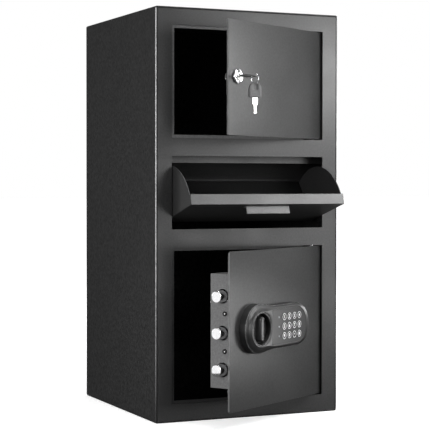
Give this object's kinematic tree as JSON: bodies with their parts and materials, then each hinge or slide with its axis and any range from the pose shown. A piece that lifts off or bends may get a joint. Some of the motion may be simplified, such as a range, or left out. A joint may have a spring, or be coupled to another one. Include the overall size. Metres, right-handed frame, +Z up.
{
  "type": "deposit safe",
  "caption": "Upright steel deposit safe with a key-locked upper compartment, a tilt-out deposit hopper and a lower compartment behind a keypad lock with sliding round bolts.",
  "frame": {"origin": "centre of the cabinet's underside, between floor and shell", "axes": "+Z up, +Y from the front frame towards the back panel, +X to the right as seen from the front; doors and hopper are stored open as in the picture"},
  "size_m": [0.346, 0.5112, 0.7],
  "materials": {
    "case_paint": "textured powder coat, black",
    "front_paint": "fine textured powder coat, charcoal",
    "door_paint": "fine textured powder coat, charcoal",
    "box_paint": "light grey satin paint",
    "zinc_steel": "zinc plated",
    "pull_steel": "satin grey paint",
    "chrome": "bright chrome",
    "bow_plastic": "satin moulded cover",
    "lock_plastic": "satin black moulding",
    "key_plastic": "satin black, white printed digits",
    "lens_plastic": "clear smoked lens",
    "board_resin": "green circuit board",
    "reset_plastic": "red moulding",
    "cell_wrap": "plain sleeve"
  },
  "bodies": {
    "cabinet": {"cabinet_shell": "case_paint", "back_panel": "case_paint", "front_frame": "front_paint", "upper_stop_frame": "front_paint", "lower_stop_frame": "front_paint", "compartment_shelf": "case_paint", "hopper_header": "front_paint", "anti_fishing_hood": "front_paint", "hopper_bracket_left": "front_paint", "hopper_bracket_right": "front_paint"},
    "hopper": {"hopper_flap": "front_paint", "hopper_bucket": "front_paint", "hopper_cheek_left": "front_paint", "hopper_cheek_right": "front_paint", "hopper_pin_left": "zinc_steel", "hopper_pin_right": "zinc_steel", "hopper_pull": "pull_steel"},
    "upper_door": {"upper_door_panel": "door_paint", "upper_hinge_bar": "zinc_steel", "lock_cylinder": "chrome", "lock_nut": "zinc_steel"},
    "cam_lock": {"lock_plug": "zinc_steel", "lock_cam": "zinc_steel", "inserted_key_bow": "bow_plastic", "inserted_key_blade": "zinc_steel"},
    "key_ring": {"key_ring": "zinc_steel"},
    "spare_key": {"spare_key_bow": "bow_plastic", "spare_key_blade": "zinc_steel"},
    "lower_door": {"lower_door_panel": "door_paint", "lower_hinge_bar": "zinc_steel", "lock_housing": "lock_plastic", "keypad_face": "lock_plastic", "circuit_board": "board_resin", "indicator_lens": "lens_plastic", "solenoid_coil": "zinc_steel", "lock_box_cover": "box_paint", "battery_tray": "lock_plastic", "battery_cells": "cell_wrap"},
    "knob": {"knob": "lock_plastic", "knob_spindle": "zinc_steel", "bolt_lever": "zinc_steel"},
    "bolt_work": {"bolt_carriage": "zinc_steel", "bolt_lower": "chrome", "bolt_middle": "chrome", "bolt_upper": "chrome"},
    "solenoid_plunger": {"solenoid_plunger": "zinc_steel"},
    "reset_button": {"reset_button": "reset_plastic"},
    "battery_lid": {"battery_lid": "lock_plastic"},
    "keypad_key_01": {"key_01": "key_plastic"},
    "keypad_key_02": {"key_02": "key_plastic"},
    "keypad_key_03": {"key_03": "key_plastic"},
    "keypad_key_04": {"key_04": "key_plastic"},
    "keypad_key_05": {"key_05": "key_plastic"},
    "keypad_key_06": {"key_06": "key_plastic"},
    "keypad_key_07": {"key_07": "key_plastic"},
    "keypad_key_08": {"key_08": "key_plastic"},
    "keypad_key_09": {"key_09": "key_plastic"},
    "keypad_key_10": {"key_10": "key_plastic"},
    "keypad_key_11": {"key_11": "key_plastic"},
    "keypad_key_12": {"key_12": "key_plastic"}
  },
  "joints": [
    {"name": "hopper_tilt", "type": "hinge", "parent": "cabinet", "child": "hopper", "pos_m": [0, -0.1635, 0.3565], "axis": [1, 0, 0], "range_deg": [-75, 0]},
    {"name": "upper_door_swing", "type": "hinge", "parent": "cabinet", "child": "upper_door", "pos_m": [0.129, -0.162, 0.575], "axis": [0, 0, 1], "range_deg": [-29.5, 60.5]},
    {"name": "lower_door_swing", "type": "hinge", "parent": "cabinet", "child": "lower_door", "pos_m": [0.129, -0.162, 0.163], "axis": [0, 0, 1], "range_deg": [-30, 60]},
    {"name": "key_turn", "type": "hinge", "parent": "upper_door", "child": "cam_lock", "pos_m": [-0.07933, -0.29538, 0.577], "axis": [0.4924, -0.8704, 0], "range_deg": [-90, 0]},
    {"name": "key_ring_swing", "type": "hinge", "parent": "cam_lock", "child": "key_ring", "pos_m": [-0.06197, -0.32606, 0.577], "axis": [0.9724, 0.2334, 0], "range_deg": [-40, 8]},
    {"name": "spare_key_swing", "type": "hinge", "parent": "key_ring", "child": "spare_key", "pos_m": [-0.06197, -0.32606, 0.56155], "axis": [0.2334, -0.9724, 0], "range_deg": [-50, 50]},
    {"name": "knob_turn", "type": "hinge", "parent": "lower_door", "child": "knob", "pos_m": [-0.03919, -0.27469, 0.164], "axis": [-0.5, 0.866, 0], "range_deg": [-90, 0]},
    {"name": "bolt_slide", "type": "slide", "parent": "lower_door", "child": "bolt_work", "axis": [0.866, 0.5, 0], "range_m": [-0.014, 0]},
    {"name": "plunger_slide", "type": "slide", "parent": "lower_door", "child": "solenoid_plunger", "axis": [0, 0, 1], "range_m": [-0.004, 0], "stiffness_N_per_m": 400, "springref_m": 0.0005},
    {"name": "reset_press", "type": "slide", "parent": "lower_door", "child": "reset_button", "axis": [-0.5, 0.866, 0], "range_m": [-0.002, 0], "stiffness_N_per_m": 600, "springref_m": 0.0005},
    {"name": "battery_lid_swing", "type": "hinge", "parent": "lower_door", "child": "battery_lid", "pos_m": [0.01923, -0.17388, 0.0815], "axis": [-0.866, -0.5, 0], "range_deg": [0, 100]},
    {"name": "press_key_01", "type": "slide", "parent": "lower_door", "child": "keypad_key_01", "axis": [0.5, -0.866, 0], "range_m": [-0.001, 0], "stiffness_N_per_m": 600, "springref_m": 0.0005},
    {"name": "press_key_02", "type": "slide", "parent": "lower_door", "child": "keypad_key_02", "axis": [0.5, -0.866, 0], "range_m": [-0.001, 0], "stiffness_N_per_m": 600, "springref_m": 0.0005},
    {"name": "press_key_03", "type": "slide", "parent": "lower_door", "child": "keypad_key_03", "axis": [0.5, -0.866, 0], "range_m": [-0.001, 0], "stiffness_N_per_m": 600, "springref_m": 0.0005},
    {"name": "press_key_04", "type": "slide", "parent": "lower_door", "child": "keypad_key_04", "axis": [0.5, -0.866, 0], "range_m": [-0.001, 0], "stiffness_N_per_m": 600, "springref_m": 0.0005},
    {"name": "press_key_05", "type": "slide", "parent": "lower_door", "child": "keypad_key_05", "axis": [0.5, -0.866, 0], "range_m": [-0.001, 0], "stiffness_N_per_m": 600, "springref_m": 0.0005},
    {"name": "press_key_06", "type": "slide", "parent": "lower_door", "child": "keypad_key_06", "axis": [0.5, -0.866, 0], "range_m": [-0.001, 0], "stiffness_N_per_m": 600, "springref_m": 0.0005},
    {"name": "press_key_07", "type": "slide", "parent": "lower_door", "child": "keypad_key_07", "axis": [0.5, -0.866, 0], "range_m": [-0.001, 0], "stiffness_N_per_m": 600, "springref_m": 0.0005},
    {"name": "press_key_08", "type": "slide", "parent": "lower_door", "child": "keypad_key_08", "axis": [0.5, -0.866, 0], "range_m": [-0.001, 0], "stiffness_N_per_m": 600, "springref_m": 0.0005},
    {"name": "press_key_09", "type": "slide", "parent": "lower_door", "child": "keypad_key_09", "axis": [0.5, -0.866, 0], "range_m": [-0.001, 0], "stiffness_N_per_m": 600, "springref_m": 0.0005},
    {"name": "press_key_10", "type": "slide", "parent": "lower_door", "child": "keypad_key_10", "axis": [0.5, -0.866, 0], "range_m": [-0.001, 0], "stiffness_N_per_m": 600, "springref_m": 0.0005},
    {"name": "press_key_11", "type": "slide", "parent": "lower_door", "child": "keypad_key_11", "axis": [0.5, -0.866, 0], "range_m": [-0.001, 0], "stiffness_N_per_m": 600, "springref_m": 0.0005},
    {"name": "press_key_12", "type": "slide", "parent": "lower_door", "child": "keypad_key_12", "axis": [0.5, -0.866, 0], "range_m": [-0.001, 0], "stiffness_N_per_m": 600, "springref_m": 0.0005}
  ],
  "couplings": [
    {"joint": "knob_turn", "follows": "bolt_slide", "rad_per_m": 112.2}
  ]
}
